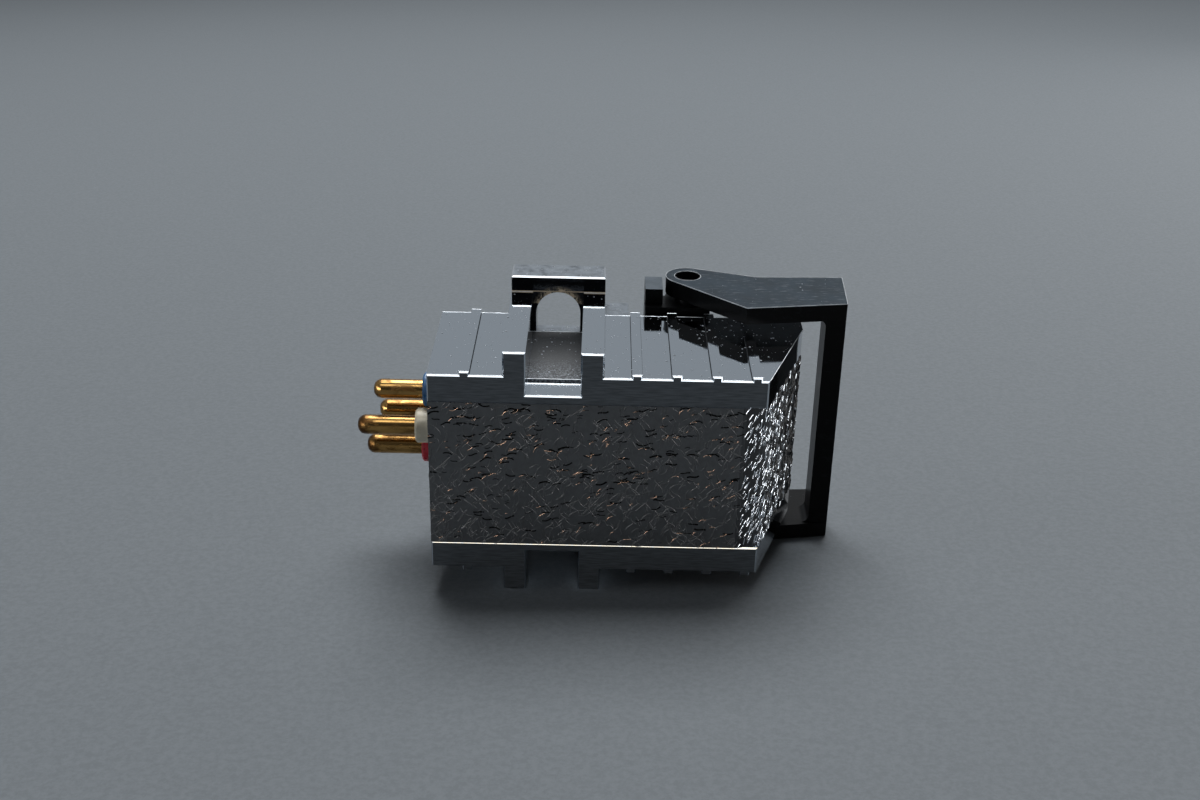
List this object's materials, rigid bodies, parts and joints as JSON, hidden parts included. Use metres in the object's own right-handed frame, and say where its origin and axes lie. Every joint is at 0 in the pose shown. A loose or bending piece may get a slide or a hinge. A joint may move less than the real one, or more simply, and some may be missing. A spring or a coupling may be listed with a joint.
{
  "type": "turntable stylus cartridge",
  "caption": "Moving-coil phono cartridge on its side: ribbed metal side plates around a crinkle-lacquered housing, pin terminals with coloured collars at the rear, and a hinged stylus guard.",
  "frame": {"origin": "on the headshell face, midway between the two screws", "axes": "+X towards the front of the cartridge, +Y from the headshell face towards the record, +Z towards its left side, which is up as it lies on its right side"},
  "size_m": [0.0297, 0.0141, 0.0174],
  "materials": {
    "housing_lacquer": "graphite crinkle lacquer",
    "side_plate": "polished, with satin end faces",
    "mount_plate": "dark polish",
    "guard_plastic": "satin, lightly scuffed",
    "guard_pin": "dark satin",
    "holder": "machined",
    "terminal_block": "satin",
    "yoke": "plated soft iron",
    "small_steel": "bright",
    "magnet": "sintered, nickel plated",
    "damper": "soft",
    "coil_former": "plain",
    "copper": "enamelled copper",
    "cantilever": "drawn",
    "stylus_tip": "polished diamond",
    "terminal_pin": "gilded, with a brown patina",
    "collar_white": "smooth",
    "collar_blue": "smooth",
    "collar_red": "smooth",
    "collar_green": "smooth"
  },
  "bodies": {
    "body": {"clamp_screw": "small_steel", "front_yoke": "yoke", "generator_holder": "holder", "guard_carrier": "guard_plastic", "guard_pin_left": "guard_pin", "guard_pin_right": "guard_pin", "housing": "housing_lacquer", "lead_wire_blue": "copper", "lead_wire_green": "copper", "lead_wire_red": "copper", "lead_wire_white": "copper", "magnet": "magnet", "mount_plate": "mount_plate", "pole_piece": "yoke", "rear_yoke": "yoke", "side_plate_left": "side_plate", "side_plate_right": "side_plate", "suspension_wire": "small_steel", "terminal_block": "terminal_block", "terminal_collar_blue": "collar_blue", "terminal_collar_green": "collar_green", "terminal_collar_red": "collar_red", "terminal_collar_white": "collar_white", "terminal_pin_blue": "terminal_pin", "terminal_pin_green": "terminal_pin", "terminal_pin_red": "terminal_pin", "terminal_pin_white": "terminal_pin"},
    "guard": {"stylus_guard": "guard_plastic"},
    "suspension": {"damper": "damper"},
    "stylus": {"coil_former": "coil_former", "coil_left": "copper", "coil_right": "copper", "cantilever": "cantilever", "stylus_tip": "stylus_tip"}
  },
  "joints": [
    {"name": "guard_hinge", "type": "hinge", "parent": "body", "child": "guard", "pos_m": [0.00795, 0.0116, 0], "axis": [0, 0, 1], "range_deg": [0, 60]},
    {"name": "stylus_sway", "type": "hinge", "parent": "body", "child": "suspension", "pos_m": [0.0101, 0.0114, 0], "axis": [-0.4226, 0.9063, 0], "range_deg": [-2, 2], "stiffness_Nm_per_rad": 0.0036},
    {"name": "stylus_flex", "type": "hinge", "parent": "suspension", "child": "stylus", "pos_m": [0.0101, 0.0114, 0], "axis": [0, 0, 1], "range_deg": [-2, 2], "stiffness_Nm_per_rad": 0.0036}
  ]
}
